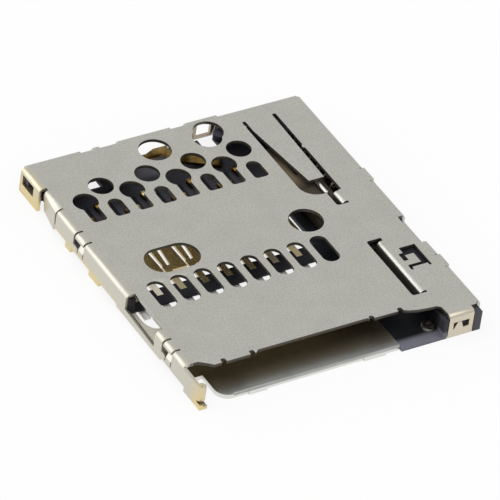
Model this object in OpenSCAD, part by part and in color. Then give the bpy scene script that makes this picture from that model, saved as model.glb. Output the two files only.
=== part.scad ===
// Push-push socket for a micro SD card, surface mounted.
// X runs across the card, Y along its way in, Z up from the board.

/* [Cover] */
// Depth from the front foot to the rear flaps
body_d = 15.3; // [15.1:0.1:16.2]
// Height from the board to the top of the cover
body_h = 1.15; // [1.12:0.01:1.3]
// Thickness of the cover's sheet
sheet_t = 0.15; // [0.12:0.01:0.16]
// Outside radius of the cover's folds
bend_r = 0.2; // [0.18:0.01:0.24]
// Clear width of the narrow slots that free a tab
slit_w = 0.12; // [0.08:0.01:0.16]

/* [Cover windows] */
// Diameter of the round windows over the contact tips
tip_hole_d = 1.09; // [0.9:0.01:1.1]
// Width of the stems and arched windows over the contact beams
stem_w = 0.67; // [0.5:0.01:0.75]
// Width of the windows over the contact tails
tail_window_w = 0.78; // [0.6:0.01:0.85]
// Length of the windows over the contact tails
tail_window_l = 1.7; // [1.4:0.05:1.9]
// Length of the inspection window
view_l = 2.46; // [2:0.02:2.6]
// Width of the inspection window
view_w = 1.53; // [1.2:0.01:1.6]
// Diameter of the round window beside the slider
side_hole_d = 1.5; // [1.2:0.05:1.6]
// Diameter of the rear vent
vent_d = 1.42; // [1.2:0.02:1.5]

/* [Contacts] */
// Spacing of the contacts
pitch = 1.1; // [1.05:0.01:1.1]
// First contact from the left face
first_contact = 1.41; // [1.38:0.01:1.6]
// Last contact from the right face, the width of the spring's side
spring_side_w = 4.29; // [4.1:0.01:5]
// Thickness of the contact sheet
leaf_t = 0.12; // [0.1:0.01:0.13]
// Width of the contact beam at its root
beam_w = 0.63; // [0.5:0.01:0.65]
// Diameter of the spoon at the end of the contact beam
spoon_d = 0.64; // [0.4:0.01:0.66]
// Width of the fixed strip beside each beam
strip_w = 0.19; // [0.15:0.01:0.2]
// Width of the contact tail
tail_w = 0.3; // [0.22:0.01:0.32]
// Height of the contact tips above the board
tip_h = 0.44; // [0.4:0.01:0.5]

/* [Base] */
// Thickness of the floor plate and the housing's floor
floor_t = 0.2; // [0.18:0.01:0.24]
// Corner radius of the floor plate at the slot's mouth
mouth_r = 0.6; // [0.3:0.05:0.8]

/* [Mechanism] */
// Travel of the slider from ejected to fully pressed
stroke = 2; // [1.2:0.1:2.2]
// Outside diameter of the eject spring
spring_d = 0.72; // [0.6:0.01:0.74]
// Wire of the eject spring
spring_wire = 0.12; // [0.08:0.01:0.14]
// Turns of the eject spring
spring_turns = 15; // [10:1:18]
// Wire of the cam follower
follower_d = 0.2; // [0.16:0.01:0.22]
// Sideways path of the follower's tip over the full stroke
cam_shift = 0.3; // [0.2:0.02:0.34]
// Running clearance of the moving pieces
play = 0.02; // [0.01:0.005:0.03]

/* [Hidden] */
$fn = 48;

CONTACTS = 8;
body_w = first_contact + (CONTACTS - 1) * pitch + spring_side_w;
roof = body_h - sheet_t;
eps = 0.02;

// Places measured from the four outer faces, as on a drawing
function from_left(v) = -body_w / 2 + v;
function from_right(v) = body_w / 2 - v;
function from_front(v) = -body_d / 2 + v;
function from_rear(v) = body_d / 2 - v;

wall_l = from_left(sheet_t);
wall_r = from_right(sheet_t);
contact_x = [for (k = [0 : CONTACTS - 1]) from_left(first_contact + k * pitch)];

// Contact rows, from the rear face
keyhole_y = from_rear(3.15);
far_tip_y = from_rear(2.46);
stem_front_y = from_rear(4.48);
arch_rear_y = from_rear(3.38);
stem_corner_r = 0.15;
tail_window_y = from_rear(9.54);

// Rear holes
vent_pos = [from_left(5.79), from_rear(1.21)];
oval_a = [from_left(8.5), from_rear(0.95)];
oval_a_r = 0.66;
oval_b = [from_left(8.25), from_rear(1.3)];
oval_b_r = 0.64;
view_pos = [from_left(2.97), from_rear(7.65)];
side_hole_pos = [from_right(4.07), from_rear(7.65)];

// Hold-down tongue over the cam follower
tongue_root_y = from_rear(1.04);
tongue_tip_y = from_rear(5.38);
tongue_gap_l = 0.17;
tongue_gap_r = 0.19;
tongue_l = from_right(3.28);
tongue_r = from_right(1.63);
tongue_taper_y = from_rear(1.65);
tongue_tip_l = from_right(2.59);
tongue_tip_r = from_right(1.86);
opening_front_y = from_rear(6.41);
opening_r = 0.78;
tongue_dip = 0.05;
nub_pos = [from_right(1.6), from_rear(3.33)];
nub_d = 0.24;

// Slider's ends, the pusher in front, and the block and guide tab that end just before it
slider_y = [from_rear(9.85), from_rear(4.45)];
block_gap = 0.15;
block_end_y = slider_y[0] - block_gap;

// Tabs folded down beside the mechanism, their left faces in one line
tab_x = from_right(2.05);
stop_tab_y = [from_rear(7.18), from_rear(6.45)];
stop_tab_drop = 0.4;
stop_slot_w = 0.3;
guide_tab_y = [from_front(1.87), block_end_y];
guide_tab_drop = 0.7;
guide_slot_w = 0.42;
slot_r = 0.12;
tab_relief = 0.11;
tab_relief_rear = 0.19;
tab_run = bend_r + 0.1;

// Small lance over the front block
lance_x = [from_right(1.64), from_right(0.66)];
lance_y = [from_front(3.36), from_front(4.62)];
lance_tongue_x = from_right(1);
lance_tongue_y = [from_front(3.52), from_front(4.12)];
lance_neck_y = from_front(3.81);
lance_bar_x = from_right(1.42);
lance_step_y = from_front(4.28);
lance_hook = 0.15;

// Left wall, from the front: front and rear ends of each fold and its lower edge
left_folds = [
    [from_front(1.52), from_front(2.4), 0.23],
    [from_front(3.23), from_front(3.8), 0.13],
    [from_front(6.2), from_front(6.85), 0.13],
    [from_front(6.85), from_rear(5.6), 0.25],
    [from_rear(4.73), from_rear(3.25), 0.27],
    [from_rear(1.73), from_rear(0.2), 0]
];
left_feet = [[from_rear(6.95), from_rear(6.15)], [from_rear(4.6), from_rear(4.15)]];
left_locks = [[from_front(2.4), from_front(3.23)], [from_rear(5.6), from_rear(4.73)]];
lock_sill = 0.56;
lock_low = 0.25;
lock_lug_w = 0.45;
lock_slit = 0.1;
lock_slit_l = 0.38;
lock_cut = 0.07;
lock_cut_z = 0.36;
lug_lean = 28;
lug_l = 0.4;
edge_notch = 0.29;

// Friction leaf for the card, in the left wall's long window
leaf_window_y = [from_front(3.8), from_front(6.2)];
leaf_low = [0.4, 0.5];
leaf_top = [0.9, 0.7];
leaf_slit = 0.04;
leaf_turn = 7;
leaf_l = 1.95;
leaf_root_l = 0.05;
leaf_notch = 0.42;

// Inset leg and rear leg of the left wall
inset_leg_y = [from_rear(3.25), from_rear(2.37)];
inset = 0.15;
inset_leg_low = 0.1;
rear_window_y = [from_rear(1.3), from_rear(0.38)];
rear_window_z = [0.18, roof - 0.05];
rear_lug_y = [from_rear(1.3), from_rear(0.65)];

// Front leg of the left wall, its end rolled in
leg_y = from_front(1.52);
leg_top = roof + 0.02;
leg_end = 0.28;
leg_low = 0.23;
leg_foot_y = [from_front(0), from_front(1.3)];
leg_toe_l = 0.4;
curl_r = 0.18;
curl_bore = 0.07;
curl_low = 0.35;
leg_flange_w = 0.36;

// Right wall, and the step in of the rear flap beside it
rear_step = 0.11;
right_low = 0.15;
right_ends = [from_front(0.45), from_rear(rear_step + bend_r)];
right_cut_y = [from_front(4.6), from_front(6.4)];
right_cut_sill = 0.75;
right_tabs = [[from_front(2.9), from_front(3.65)], [from_rear(6.38), from_rear(5.55)]];
right_tab_sill = 0.7;
right_feet = [
    [from_front(1.2), from_front(2)],
    [from_rear(7.4), from_rear(6.6)],
    [from_rear(4.6), from_rear(4.1)]
];

// Rear flaps: left and right ends, length below the bend and step in from the rear face
rear_step_x = from_left(9.45);
rear_flaps = [
    [from_left(0.25), from_left(2.8), 0.5, 0],
    [from_left(3.45), from_left(3.7), 0.05, 0],
    [from_left(4.6), from_left(7.1), 0.23, 0],
    [from_left(7.85), from_left(9.35), 0.83, 0],
    [rear_step_x, from_right(bend_r), 0.75, rear_step]
];
plate_rear_y = from_rear(0.23);
rear_opening_x = [from_left(8.45), from_left(9.15)];
rear_opening_sill = 0.22;
flap_run = bend_r + 0.05;

// Front foot on the right and its window
foot_x = [from_right(1.72), from_right(0.55)];
foot_window_x = [from_right(1.5), from_right(0.75)];
foot_window_z = [0.4, 0.75];
foot_lug_w = 0.34;
corner_y = from_front(0.33);
corner_cut = 0.3;

// Front edge of the cover, left to right, between the left fold and the foot
front_edge = [
    [from_left(0.67), from_front(1.52)],
    [from_left(1.02), from_front(1.26)],
    [from_left(1.2), from_front(1.11)],
    [from_left(3.15), from_front(1.11)],
    [from_left(3.3), from_front(1.25)],
    [from_left(8.45), from_front(1.25)],
    [from_left(8.55), from_front(1.15)],
    [from_right(3.3), from_front(1.13)],
    [from_right(3.15), from_front(1.03)],
    [from_right(2.74), from_front(0.91)],
    [from_right(1.9), from_front(0.81)],
    [from_right(1.75), from_front(0.7)]
];
carrier_x = [from_left(1.67), from_left(3), from_left(8.63), from_right(3.42)];
carrier_y = from_front(1.25);
carrier_w = 0.22;
carrier_l = 0.3;

// Cross bar, in front of the root of the contacts
root_y = [from_rear(7.4), from_rear(7.08)];
bar_gap = 0.83;
bar_w = 0.97;
bar_y = [root_y[0] - bar_gap - bar_w, root_y[0] - bar_gap];

// Floor plate
plate_l = from_left(1.07);
plate_side = 0.39;
plate_r = contact_x[CONTACTS - 1] + plate_side;
plate_front = from_front(0.15);
plate_gap = 0.4;
plate_rear = bar_y[0] - plate_gap;
lip = 0.06;
wing_l = from_left(0.25);
wing_y = [from_front(1.65), from_front(4.3)];
wing_r = 0.12;
carrier_tabs = [[from_left(2.35), from_left(3.2)], [from_left(7.75), from_left(8.8)]];
carrier_tab_l = 0.08;
tongue_z = [0.06, 0.14];
plate_tongue_y = [from_front(0.5), plate_rear - 0.3];
plate_tongue_w = 0.4;
finger_w = 0.2;
finger_l = 0.9;
finger_off = 0.08;
finger_contacts = [0, 4];
dimple_pos = [from_right(2.2), from_front(0.75)];
dimple_d = 0.62;
dimple_h = 0.08;
dimple_rim = 0.09;

// Housing
rail_w = 0.27;
link_w = 0.45;
bar_cover_y = bar_y[0] + 0.5;
bar_lip = 0.3;
bar_lip_t = 0.1;
bar_end_w = 0.15;
side_gap_w = 0.16;
side_gap_inset = [0.35, 0.1];
left_undercut = [0.1, 0.3];
notch_w = 0.42;
notch_run = 0.1;
bar_top = 0.25;
comb_front = from_rear(3.75);
housing_rear = from_rear(0.3);
rear_wall_t = 0.3;
rear_wall_x = from_left(5.1);
rib_w = 0.24;
rib_top = 0.32;
rib_l = 1.1;
mould_hole_x = [from_left(2.55), from_left(3.25)];
mould_hole_y = [from_rear(1.5), from_rear(0.9)];
switch_hole_x = from_left(8.45);
switch_hole_y = from_rear(0.95);
channel_r = from_right(0.65);
front_block_y = [from_front(1.05), block_end_y];
rear_block_y = from_rear(2.05);
rear_block_x = from_right(2.55);
peg_block_x = [from_left(9.25), from_right(3.4)];
peg_block_y = from_rear(1.3);
peg_pos = [from_left(9.1), from_rear(0.97)];
peg_d = 0.6;
peg_z = [0.6, 0.9];
peg_gap = 0.05;
post_x = from_right(1.96);
ramp_l = 0.3;
ramp_h = 0.12;
housing_top = body_h - bend_r;
rear_wall_top = housing_top - 0.05;
cover_h = 0.05;
pocket_w = 0.24;
pocket_gap = 0.04;
spring_seat = 0.02;

// Contacts, their row and the cross bar placed from the root that joins beam and tail
bend_y = bar_y[0] + 0.35;
tail_end_y = bend_y - 0.73;
tail_riser = 0.15;
leaf_z0 = bar_top - leaf_t;
strip_off = pitch / 2;
strip_end_y = comb_front + 0.2;
neck_y = root_y[1] + 2.2;
neck_l = 0.12;
neck_r = 0.2;
strip_flare = 0.17;
spoon_off = 0.06;
tip_back = 0.32;
dome_r = 0.34;
dome_steps = 8;

// Card-detect switch
lever_t = 0.1;
lever_w = 0.46;
lever_pos = [from_left(8.6), from_rear(2.15)];
lever_l = 2.35;
lever_turn = 149;
lever_z = floor_t + 0.06;
lever_foot_l = 0.4;
terminal_t = 0.12;
terminal_y = [from_rear(0.7), from_rear(0.1)];
terminal_x = [from_left(5.5), from_left(7.05)];

// Mechanism
follower_gap = 0.03;
slider_x = [from_right(3.2), from_right(1.72)];
arm_r = from_right(2.62);
arm_y = from_rear(2.45);
slider_top = roof - tongue_dip - follower_gap - follower_d - play;
pusher_r = channel_r - 2 * play;
pusher_l = 0.85;
pusher_top = roof - 2 * play;
keel_x = [from_right(2.8), from_right(2.5)];
keel_inset = 0.3;
keel_depth = 0.1;
boss_d = 0.3;
boss_l = 0.6;
spring_x = from_right(1.2);
spring_gap = 0.04;
spring_z = roof - spring_gap - spring_d / 2;
spring_y = [slider_y[0] + pusher_l, from_rear(0.75)];
follower_pivot = [from_right(2.1), from_rear(1.55)];
follower_tip_y = from_rear(6.05);
follower_z = slider_top + play + follower_d / 2;
follower_leg_z = 0.45;
cam_floor = 0.4;
lane_w = follower_d + 0.14;
heart_w = 0.5;

module disc(at, d) {
    translate(at) circle(d = d);
}

module box(x, y, z) {
    translate([x[0], y[0], z[0]]) cube([x[1] - x[0], y[1] - y[0], z[1] - z[0]]);
}

module area(x, y) {
    translate([x[0], y[0]]) square([x[1] - x[0], y[1] - y[0]]);
}

// Area with round corners, made of arcs and straight sides
module round_area(x, y, r) {
    area([x[0] + r, x[1] - r], y);
    area(x, [y[0] + r, y[1] - r]);
    for (px = [x[0] + r, x[1] - r], py = [y[0] + r, y[1] - r]) disc([px, py], 2 * r);
}

// Section of a fold: a strip of the top, the bend and a wall of the given drop
module fold_section(drop, run) {
    area([-run, -bend_r], [-sheet_t, 0]);
    intersection() {
        difference() {
            disc([-bend_r, -bend_r], 2 * bend_r);
            disc([-bend_r, -bend_r], 2 * (bend_r - sheet_t));
        }
        area([-bend_r, 0], [-bend_r, 0]);
    }
    area([-sheet_t, 0], [-drop, -bend_r]);
}

// Fold that faces right, between two places along Y
module fold_right(x, y, low, run = bend_r + eps) {
    translate([x, y[1], body_h]) rotate([90, 0, 0])
        linear_extrude(y[1] - y[0]) fold_section(body_h - low, run);
}

module fold_left(x, y, low, run = bend_r + eps) {
    mirror([1, 0, 0]) fold_right(-x, y, low, run);
}

// Fold that faces the rear, between two places along X
module fold_rear(y, x, low, run = bend_r + eps) {
    translate([x[0], y, body_h]) rotate([90, 0, 90])
        linear_extrude(x[1] - x[0]) fold_section(body_h - low, run);
}

module fold_front(y, x, low, run = bend_r + eps) {
    mirror([0, 1, 0]) fold_rear(-y, x, low, run);
}

// Windows over the contact tips, by turns a keyhole and an arch with a circle behind it
module tip_windows() {
    for (k = [0 : CONTACTS - 1]) {
        x = contact_x[k];
        stem = [x - stem_w / 2, x + stem_w / 2];
        if (k % 2 == 0) {
            disc([x, keyhole_y], tip_hole_d);
            round_area(stem, [stem_front_y, keyhole_y], stem_corner_r);
        } else {
            round_area(stem, [stem_front_y, arch_rear_y - stem_w / 4], stem_corner_r);
            disc([x, arch_rear_y - stem_w / 2], stem_w);
            disc([x, far_tip_y], tip_hole_d);
        }
    }
}

module tail_windows() {
    half = tail_window_l / 2;
    for (x = contact_x)
        round_area([x - tail_window_w / 2, x + tail_window_w / 2],
            [tail_window_y - half, tail_window_y + half], tail_window_w / 2 - eps);
}

module large_holes() {
    disc(vent_pos, vent_d);
    disc(oval_a, 2 * oval_a_r);
    disc(oval_b, 2 * oval_b_r);
    disc(side_hole_pos, side_hole_d);
    round_area([view_pos[0] - view_l / 2, view_pos[0] + view_l / 2],
        [view_pos[1] - view_w / 2, view_pos[1] + view_w / 2], view_w / 2 - eps);
}

module tongue_opening() {
    left_mid = tongue_l + tongue_gap_l / 2;
    right_mid = tongue_r - tongue_gap_r / 2;
    disc([left_mid, tongue_root_y], tongue_gap_l);
    disc([right_mid, tongue_root_y], tongue_gap_r);
    area([tongue_l, tongue_l + tongue_gap_l], [opening_front_y + opening_r, tongue_root_y]);
    area([tongue_r - tongue_gap_r, tongue_r], [opening_front_y, tongue_root_y]);
    area([left_mid, right_mid], [opening_front_y + opening_r, tongue_root_y - tongue_gap_l]);
    area([tongue_l + opening_r, right_mid], [opening_front_y, opening_front_y + opening_r + eps]);
    disc([tongue_l + opening_r, opening_front_y + opening_r], 2 * opening_r);
}

// Slot beside a tab that is folded down on its right, with relief at both ends
module tab_slot(y, w, relief_front, relief_rear) {
    round_area([tab_x - w, tab_x + bend_r], [y[0] - relief_front, y[1] + relief_rear], slot_r);
    relief_x = [tab_x - slot_r, tab_x + tab_run - eps];
    area(relief_x, [y[0] - relief_front, y[0]]);
    area(relief_x, [y[1], y[1] + relief_rear]);
}

module lance_cut() {
    area([lance_bar_x, lance_x[1]], [lance_tongue_y[1], lance_y[1]]);
    area([lance_x[0], lance_bar_x], [lance_neck_y, lance_step_y]);
    area([lance_tongue_x, lance_x[1]], [lance_y[0], lance_y[1]]);
    area(lance_x, [lance_y[0], lance_tongue_y[0]]);
    for (x = [lance_x[0], lance_x[1] - slit_w])
        area([x, x + slit_w], [lance_y[0] - lance_hook, lance_tongue_y[0]]);
}

module edge_cuts() {
    inner = from_left(edge_notch);
    for (y = left_locks, end = [y[0], y[1] - lock_slit])
        area([from_left(-eps), from_left(lock_slit_l)], [end, end + lock_slit]);
    area([from_left(-eps), from_left(leaf_notch)], leaf_window_y);
    area([from_left(-eps), inner], [inset_leg_y[0], inset_leg_y[0] + slit_w]);
    area([from_left(-eps), from_left(inset + bend_r)], [inset_leg_y[0], left_folds[5][0]]);
    area([from_right(2 * bend_r), from_right(-eps)], right_cut_y);
    for (y = right_tabs) {
        area([from_right(bend_r + eps), from_right(-eps)], [y[0] - slit_w / 2, y[0]]);
        area([from_right(bend_r + eps), from_right(-eps)], [y[1], y[1] + slit_w / 2]);
    }
}

// Flat of the cover between its folds
module plate_outline() {
    polygon(concat(
        [[from_left(bend_r), plate_rear_y], [from_left(bend_r), leg_y]],
        front_edge,
        [
            [foot_x[0], from_front(bend_r)], [foot_x[1], from_front(bend_r)],
            [foot_x[1], corner_y], [from_right(corner_cut), corner_y], [from_right(bend_r), right_ends[0]],
            [from_right(bend_r), from_rear(rear_step + bend_r)],
            [rear_step_x, from_rear(rear_step + bend_r)], [rear_step_x, plate_rear_y]
        ]
    ));
    for (y = right_tabs) area([from_right(2 * bend_r), from_right(0.01)], y);
}

module cover_plate() {
    translate([0, 0, roof]) linear_extrude(sheet_t) disc(nub_pos, nub_d);
    translate([0, 0, roof]) linear_extrude(sheet_t) difference() {
        plate_outline();
        tip_windows();
        tail_windows();
        large_holes();
        tongue_opening();
        tab_slot(stop_tab_y, stop_slot_w, slit_w, opening_front_y - stop_tab_y[1] + slit_w);
        tab_slot(guide_tab_y, guide_slot_w, tab_relief, tab_relief_rear);
        lance_cut();
        edge_cuts();
        for (x = carrier_x)
            round_area([x - carrier_w / 2, x + carrier_w / 2],
                [carrier_y - 2 * carrier_l, carrier_y + carrier_l / 4], carrier_w / 2 - eps);
    }
}

module tongue() {
    root = tongue_root_y - tongue_gap_l;
    reach = root - tongue_tip_y;
    translate([0, root, roof]) rotate([asin(tongue_dip / reach), 0, 0]) translate([0, -root, 0])
        linear_extrude(sheet_t) polygon([
            [tongue_l + tongue_gap_l, root + eps],
            [tongue_l + tongue_gap_l, tongue_taper_y],
            [tongue_tip_l, tongue_tip_y],
            [tongue_tip_r, tongue_tip_y],
            [tongue_r - tongue_gap_r, root + eps]
        ]);
}

// Lug that leans in from the wall, its foot at the wall's outer face
module lean_lug(y, z, length) {
    translate([from_left(0), y[0], z]) rotate([0, lug_lean, 0])
        cube([sheet_t, y[1] - y[0], length]);
}

module left_wall() {
    outer = [from_left(0), wall_l];
    difference() {
        for (f = left_folds) fold_left(from_left(0), [f[0], f[1]], f[2]);
        box([from_left(-eps), wall_l + eps], rear_window_y, rear_window_z);
    }
    for (y = left_feet) box(outer, y, [0, lock_sill]);
    for (y = left_locks) {
        fold_left(from_left(0), y + [lock_slit, -lock_slit], body_h - bend_r - eps);
        lean_lug([y[0] + lock_cut, y[0] + lock_lug_w], lock_sill - eps, lug_l);
        difference() {
            box(outer, y, [lock_low, lock_sill]);
            for (side = [y[0], y[0] + lock_lug_w])
                box([from_left(-eps), wall_l + eps], [side, side + lock_cut], [lock_cut_z, lock_sill + eps]);
        }
    }
    leaf_strip();
    friction_leaf();
    fold_left(from_left(inset), inset_leg_y + [slit_w, 0], inset_leg_low, bend_r + edge_notch);
    lean_lug(rear_lug_y, rear_window_z[0] - eps, lug_l);
    front_leg();
}

// Strip under the window, lower towards the front
module leaf_strip() {
    low = left_folds[1][2];
    translate([from_left(0), 0, 0]) rotate([90, 0, 90]) linear_extrude(sheet_t) polygon([
        [leaf_window_y[0] - eps, low], [leaf_window_y[1] + eps, low],
        [leaf_window_y[1] + eps, leaf_low[1] - leaf_slit],
        [leaf_window_y[0] - eps, leaf_low[0] - leaf_slit]
    ]);
}

// Leaf that starts at the wall in front of the window and leans in to the card, lower towards its tip
module friction_leaf() {
    root = leaf_window_y[0] - leaf_root_l;
    tip = leaf_window_y[0] + leaf_l;
    intersection() {
        translate([from_left(0), root, 0]) rotate(-leaf_turn) cube([sheet_t, 2 * leaf_l, body_h]);
        translate([from_left(0), 0, 0]) rotate([90, 0, 90]) linear_extrude(body_w) polygon([
            [root - sheet_t, leaf_low[0]], [leaf_window_y[0], leaf_low[0]], [tip, leaf_low[1]],
            [tip, leaf_top[1]], [leaf_window_y[0], leaf_top[0]], [root - sheet_t, leaf_top[0]]
        ]);
    }
}

module front_leg() {
    outer = [from_left(0), wall_l];
    start = from_front(leg_end);
    box(outer, [start, leg_y + eps], [leg_low, leg_top]);
    box(outer, leg_foot_y, [0, leg_low + eps]);
    box([from_left(0), from_left(leg_flange_w)], [leg_foot_y[0], leg_foot_y[0] + leg_toe_l], [0, sheet_t]);
    translate([from_left(curl_r), start, curl_low]) linear_extrude(leg_top - curl_low) difference() {
        circle(curl_r);
        circle(d = curl_bore);
    }
}

module right_wall() {
    outer = [wall_r, from_right(0)];
    fold_right(from_right(0), [right_ends[0], right_tabs[0][0] - slit_w / 2], right_low);
    fold_right(from_right(0), [right_tabs[0][1] + slit_w / 2, right_cut_y[0]], right_low);
    fold_right(from_right(0), [right_cut_y[1], right_tabs[1][0] - slit_w / 2], right_low);
    fold_right(from_right(0), [right_tabs[1][1] + slit_w / 2, right_ends[1]], right_low);
    box(outer, right_cut_y, [right_low, right_cut_sill]);
    for (y = right_tabs)
        box(outer, [y[0] - slit_w / 2, y[1] + slit_w / 2], [right_low, right_tab_sill]);
    for (y = right_feet) box(outer, y, [0, right_low + eps]);
}

module rear_walls() {
    difference() {
        for (f = rear_flaps)
            fold_rear(from_rear(f[3]), [f[0], f[1]], body_h - bend_r - f[2], flap_run);
        box(rear_opening_x, [from_rear(sheet_t + eps), from_rear(-eps)],
            [rear_opening_sill, body_h - bend_r - eps]);
    }
}

module front_foot() {
    mid = (foot_window_x[0] + foot_window_x[1]) / 2;
    difference() {
        fold_front(from_front(0), foot_x, 0);
        box(foot_window_x, [from_front(-eps), from_front(sheet_t + eps)], foot_window_z);
    }
    translate([mid, from_front(sheet_t), 0]) rotate([90, 0, 0]) linear_extrude(sheet_t)
        polygon([
            [-foot_lug_w, foot_window_z[0] - eps], [foot_lug_w / 3, foot_window_z[0] - eps],
            [0, foot_window_z[1] - eps], [-foot_lug_w / 2, foot_window_z[1] - eps]
        ]);
}

module cover_shell() color("silver") {
    cover_plate();
    tongue();
    fold_left(tab_x, stop_tab_y, body_h - stop_tab_drop, tab_run);
    fold_left(tab_x, guide_tab_y, body_h - guide_tab_drop, tab_run);
    left_wall();
    right_wall();
    rear_walls();
    front_foot();
}

// What the housing is moulded around: a side tongue and two fingers
module plate_inserts() {
    box([plate_r - eps, plate_r + plate_tongue_w], plate_tongue_y, tongue_z);
    box([plate_r, dimple_pos[0]], [dimple_pos[1] - dimple_d / 2, dimple_pos[1] + dimple_d / 2], tongue_z);
    translate([dimple_pos[0], dimple_pos[1], tongue_z[0]])
        cylinder(d = dimple_d, h = floor_t + dimple_h - tongue_z[0]);
    for (k = finger_contacts) {
        x = contact_x[k] + finger_off;
        box([x, x + finger_w], [plate_rear - eps, plate_rear + finger_l], tongue_z);
    }
}

// Hollow of the dimple, with a bar left across it
module dimple_recess() {
    translate([dimple_pos[0], dimple_pos[1], floor_t]) difference() {
        cylinder(d = dimple_d - 2 * dimple_rim, h = 2 * dimple_h);
        translate([-dimple_d / 2, -dimple_rim / 2, 0]) cube([dimple_d, dimple_rim, 2 * dimple_h]);
    }
}

module floor_plate() color("gray") {
    difference() {
        linear_extrude(floor_t) {
            area([plate_l + mouth_r, plate_r], [plate_front, plate_rear]);
            area([plate_l, plate_r], [plate_front + mouth_r, plate_rear]);
            disc([plate_l + mouth_r, plate_front + mouth_r], 2 * mouth_r);
            round_area([wing_l, plate_l + mouth_r], wing_y, wing_r);
            for (x = carrier_tabs) area(x, [plate_front - carrier_tab_l, plate_front + eps]);
        }
        translate([plate_l + mouth_r, plate_front, floor_t]) rotate([45, 0, 0])
            translate([0, -lip, -lip]) cube([plate_r - plate_l, 2 * lip, 2 * lip]);
    }
    difference() {
        plate_inserts();
        dimple_recess();
    }
}

// Flat parts of a contact: its tail, the strip along its beam and the root that joins them
module contact_frame(k) {
    x = contact_x[k];
    strip_x = x - strip_off;
    tail = [strip_x - tail_w / 2, strip_x + tail_w / 2];
    translate([0, 0, leaf_z0]) linear_extrude(leaf_t) {
        area(tail, [bend_y - tail_riser, root_y[1]]);
        polygon([
            [strip_x - strip_w / 2, root_y[0]], [strip_x + strip_w / 2, root_y[0]],
            [strip_x + strip_w / 2, root_y[1]], [strip_x + strip_w / 2 + strip_flare, neck_y],
            [strip_x + strip_w / 2 + strip_flare, strip_end_y], [strip_x - strip_w / 2, strip_end_y]
        ]);
        area([tail[0], x + beam_w / 2], root_y);
    }
    box(tail, [tail_end_y, bend_y], [0, leaf_t]);
    box(tail, [bend_y - tail_riser, bend_y], [0, bar_top]);
}

function tip_y(k) = (k % 2 == 0 ? keyhole_y : far_tip_y) - tip_back;
function dome(y, r) = [
    for (i = [0 : dome_steps])
        let (a = 125 - 90 * i / dome_steps)
        [y + r * cos(a), tip_h - dome_r + r * sin(a)]
];
function backwards(list) = [for (i = [len(list) - 1 : -1 : 0]) list[i]];

// Sprung beam: a rising leaf that narrows to a neck, with a domed spoon at its end
module contact_beam(k) {
    x = contact_x[k];
    intersection() {
        translate([x - pitch / 2, 0, 0]) rotate([90, 0, 90]) linear_extrude(pitch)
            polygon(concat(
                [[root_y[0], bar_top], [root_y[1], bar_top]],
                dome(tip_y(k), dome_r),
                backwards(dome(tip_y(k), dome_r - leaf_t)),
                [[root_y[1], leaf_z0], [root_y[0], leaf_z0]]
            ));
        linear_extrude(2 * tip_h) {
            polygon([
                [x - beam_w / 2, root_y[0]], [x + beam_w / 2, root_y[0]], [x + beam_w / 2, root_y[1]],
                [x + neck_r, neck_y], [x + neck_r, tip_y(k)],
                [x - neck_l, tip_y(k)], [x - neck_l, neck_y], [x - beam_w / 2, root_y[1]]
            ]);
            disc([x - spoon_off, tip_y(k)], spoon_d);
        }
    }
}

module contact(k) color("darkgoldenrod") {
    contact_frame(k);
    contact_beam(k);
}

module lever_foot() {
    translate([lever_pos[0], lever_pos[1], floor_t - terminal_t]) rotate([0, 0, lever_turn])
        translate([0, -lever_w / 2, 0]) cube([lever_foot_l, lever_w, lever_z - floor_t + terminal_t]);
}

module detect_lever() color("gold") {
    lever_foot();
    translate([lever_pos[0], lever_pos[1], lever_z]) rotate([0, 0, lever_turn])
        translate([0, -lever_w / 2, 0]) cube([lever_l, lever_w, lever_t]);
}

module detect_terminal() color("gold") {
    point = (terminal_y[0] + housing_rear) / 2;
    translate([0, 0, floor_t - terminal_t]) linear_extrude(terminal_t) polygon([
        [terminal_x[0], point], [terminal_x[0] + lever_w, terminal_y[0]],
        [terminal_x[1], terminal_y[0]], [terminal_x[1], terminal_y[1]],
        [terminal_x[0] + 2 * lever_w, terminal_y[1]], [terminal_x[0] + lever_w, housing_rear]
    ]);
    box([terminal_x[0] + 2 * lever_w, terminal_x[1]], [housing_rear, terminal_y[1]], [0, floor_t]);
}

// Moulded forms of the housing before its pockets are cut
module housing_body() {
    box([wall_l, plate_r], [comb_front, housing_rear], [0, floor_t]);
    box([wall_l, plate_r], bar_y, [0, bar_top]);
    box([wall_l, wall_l + link_w], [bar_y[0], housing_rear], [0, floor_t]);
    box([wall_l, wall_l + rail_w], [bar_y[0], housing_rear], [0, housing_top]);
    box([wall_l, rear_wall_x], [housing_rear - rear_wall_t, housing_rear], [0, rear_wall_top]);
    box([plate_r, wall_r], [from_front(0), housing_rear], [0, floor_t]);
    box([channel_r, wall_r], [front_block_y[0], housing_rear], [0, housing_top]);
    box([rear_block_x, wall_r], [rear_block_y, housing_rear], [0, housing_top]);
    box(peg_block_x, [peg_block_y, housing_rear], [0, housing_top]);
    translate([peg_pos[0], peg_pos[1], peg_z[0]]) cylinder(d = peg_d, h = peg_z[1] - peg_z[0]);
    box([tab_x + sheet_t, wall_r], front_block_y, [0, housing_top]);
    box([post_x, wall_r], [from_front(0), front_block_y[0]], [0, housing_top]);
    for (k = [0 : CONTACTS - 1]) {
        x = contact_x[k] - strip_off;
        box([x - rib_w / 2, x + rib_w / 2], [comb_front, comb_front + rib_l], [0, rib_top]);
    }
    bar_cover();
}

// Raised part of the cross bar that holds the contact tails down
module bar_cover() {
    box([wall_l, plate_r], [bar_y[0], bar_cover_y], [0, bar_top + cover_h]);
}

module lead_in() {
    translate([plate_r, from_front(0), floor_t]) rotate([90, 0, 90])
        linear_extrude(post_x - plate_r)
            polygon([[-eps, eps], [-eps, -ramp_h], [0, -ramp_h], [ramp_l, 0], [ramp_l, eps]]);
}

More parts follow.
